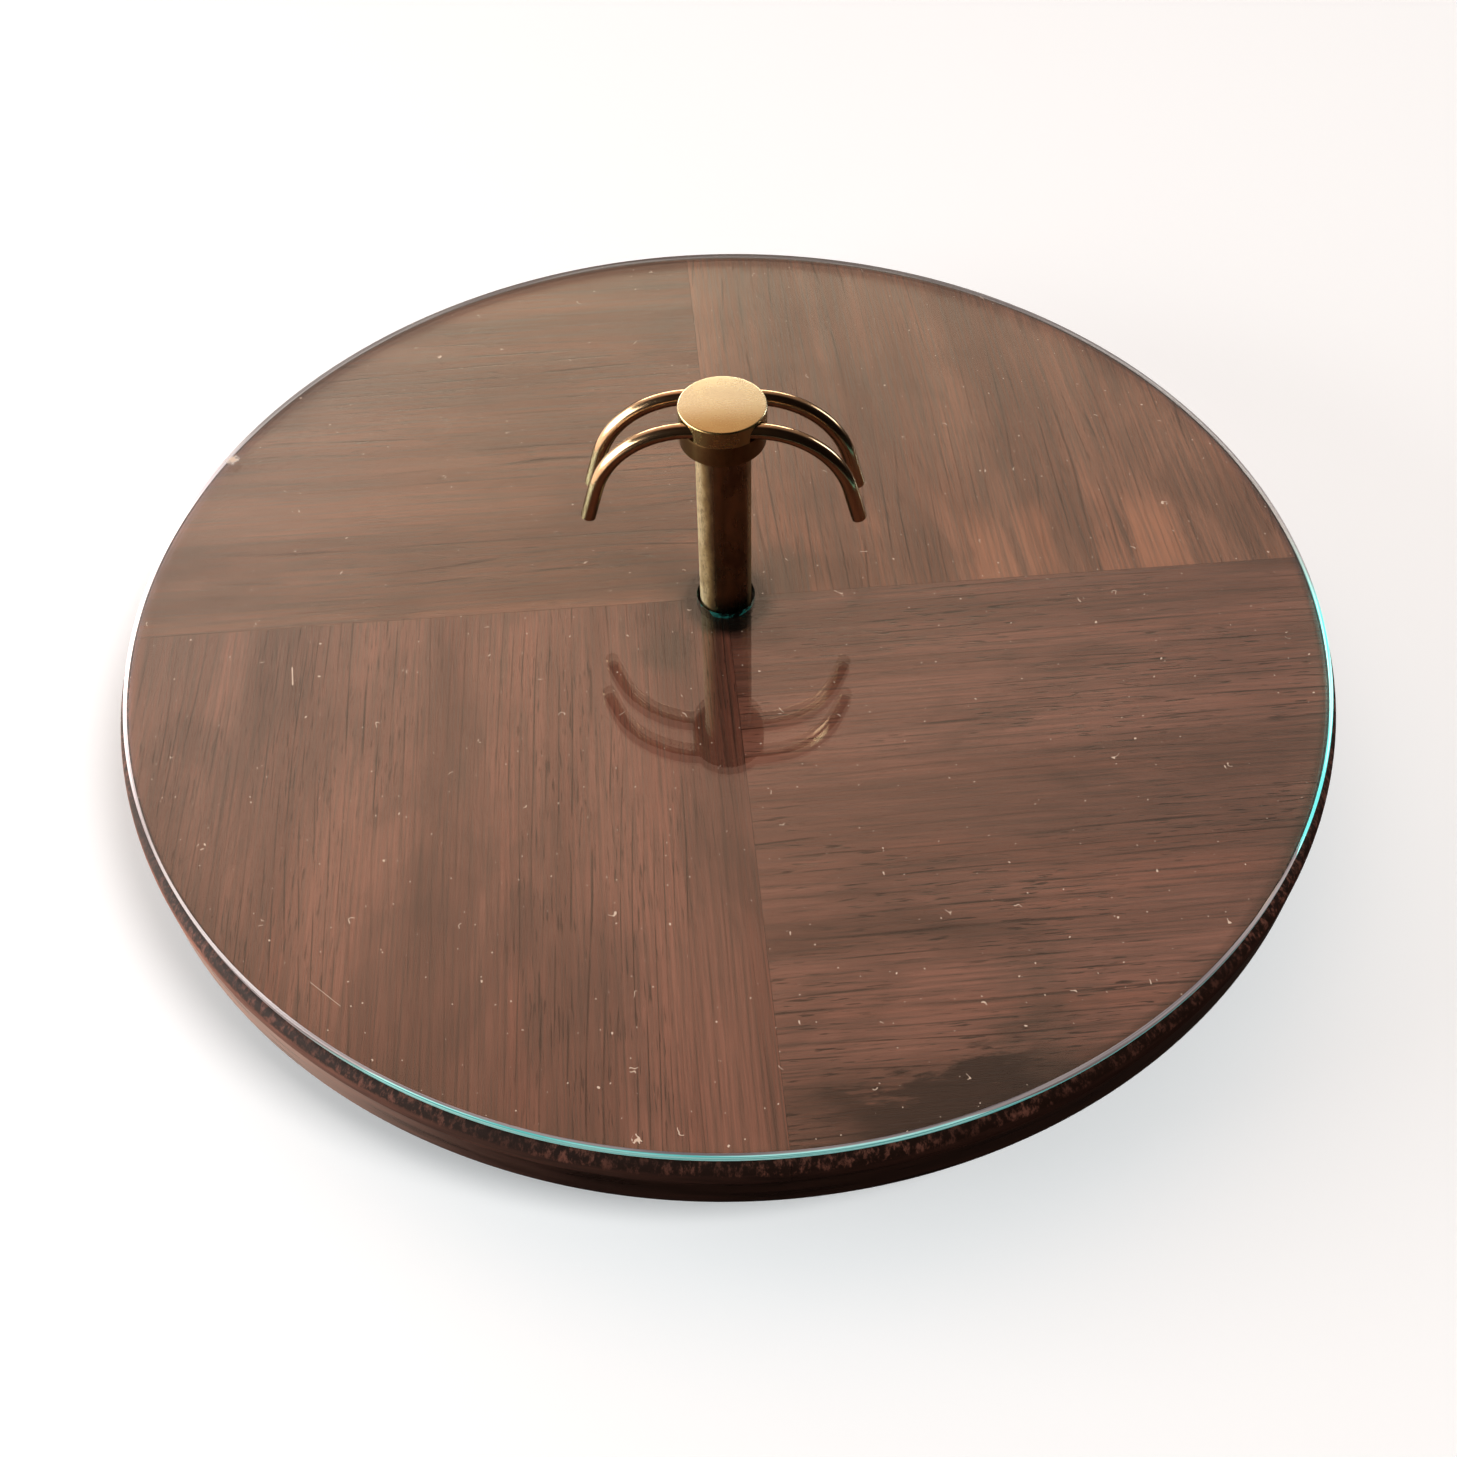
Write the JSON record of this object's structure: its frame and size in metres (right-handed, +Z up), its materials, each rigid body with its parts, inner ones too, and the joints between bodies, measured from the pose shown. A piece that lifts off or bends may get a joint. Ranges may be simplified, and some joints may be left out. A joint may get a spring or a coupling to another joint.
{
  "type": "lazy susan turntable",
  "caption": "Round wooden lazy susan that spins on a ring bearing, with a clear glass top plate and a brass post handle with curved arms.",
  "frame": {"origin": "centre of the resting surface under the four feet, on the axis that the top turns about", "axes": "+Z up along the turning axis, +X along the handle's arms, +Y to the back"},
  "size_m": [0.42, 0.42, 0.134],
  "materials": {
    "top_wood": "polished dark rosewood veneer, four matched quarters",
    "rim_wood": "dark stained wood band, satin",
    "plywood": "plain plywood, unfinished",
    "base_wood": "dark stained wood, satin",
    "glass": "clear float glass with a greenish edge",
    "aged_brass": "aged satin brass with light tarnish",
    "bearing_aluminium": "bare aluminium",
    "zinc_steel": "zinc plated steel",
    "ball_steel": "polished bearing steel",
    "cage_nylon": "natural nylon",
    "foot_rubber": "matt black rubber"
  },
  "bodies": {
    "base": {"base_disc": "base_wood", "foot_1": "foot_rubber", "foot_2": "foot_rubber", "foot_3": "foot_rubber", "foot_4": "foot_rubber", "bearing_inner_ring": "bearing_aluminium", "base_screw_1": "zinc_steel", "base_screw_2": "zinc_steel", "base_screw_3": "zinc_steel", "base_screw_4": "zinc_steel"},
    "ball_cage": {"ball_cage": "cage_nylon", "ball_01": "ball_steel", "ball_02": "ball_steel", "ball_03": "ball_steel", "ball_04": "ball_steel", "ball_05": "ball_steel", "ball_06": "ball_steel", "ball_07": "ball_steel", "ball_08": "ball_steel", "ball_09": "ball_steel", "ball_10": "ball_steel", "ball_11": "ball_steel", "ball_12": "ball_steel", "ball_13": "ball_steel", "ball_14": "ball_steel", "ball_15": "ball_steel", "ball_16": "ball_steel"},
    "turntable": {"bearing_outer_ring": "bearing_aluminium", "top_screw_1": "zinc_steel", "top_screw_2": "zinc_steel", "top_screw_3": "zinc_steel", "top_screw_4": "zinc_steel", "core_disc": "plywood", "rim_band": "rim_wood", "quarter_board_1": "top_wood", "quarter_board_2": "top_wood", "quarter_board_3": "top_wood", "quarter_board_4": "top_wood", "glass_plate": "glass", "stem": "aged_brass", "collar": "aged_brass", "front_arm": "aged_brass", "back_arm": "aged_brass", "cap": "aged_brass", "tie_rod": "zinc_steel", "washer": "zinc_steel", "nut": "zinc_steel"}
  },
  "joints": [
    {"name": "turntable_spin", "type": "hinge", "parent": "base", "child": "turntable", "pos_m": [0, 0, 0.02365], "axis": [0, 0, 1], "continuous": true},
    {"name": "ball_cage_roll", "type": "hinge", "parent": "base", "child": "ball_cage", "pos_m": [0, 0, 0.02365], "axis": [0, 0, 1], "continuous": true}
  ],
  "couplings": [
    {"joint": "ball_cage_roll", "follows": "turntable_spin", "ratio": 0.5169}
  ]
}
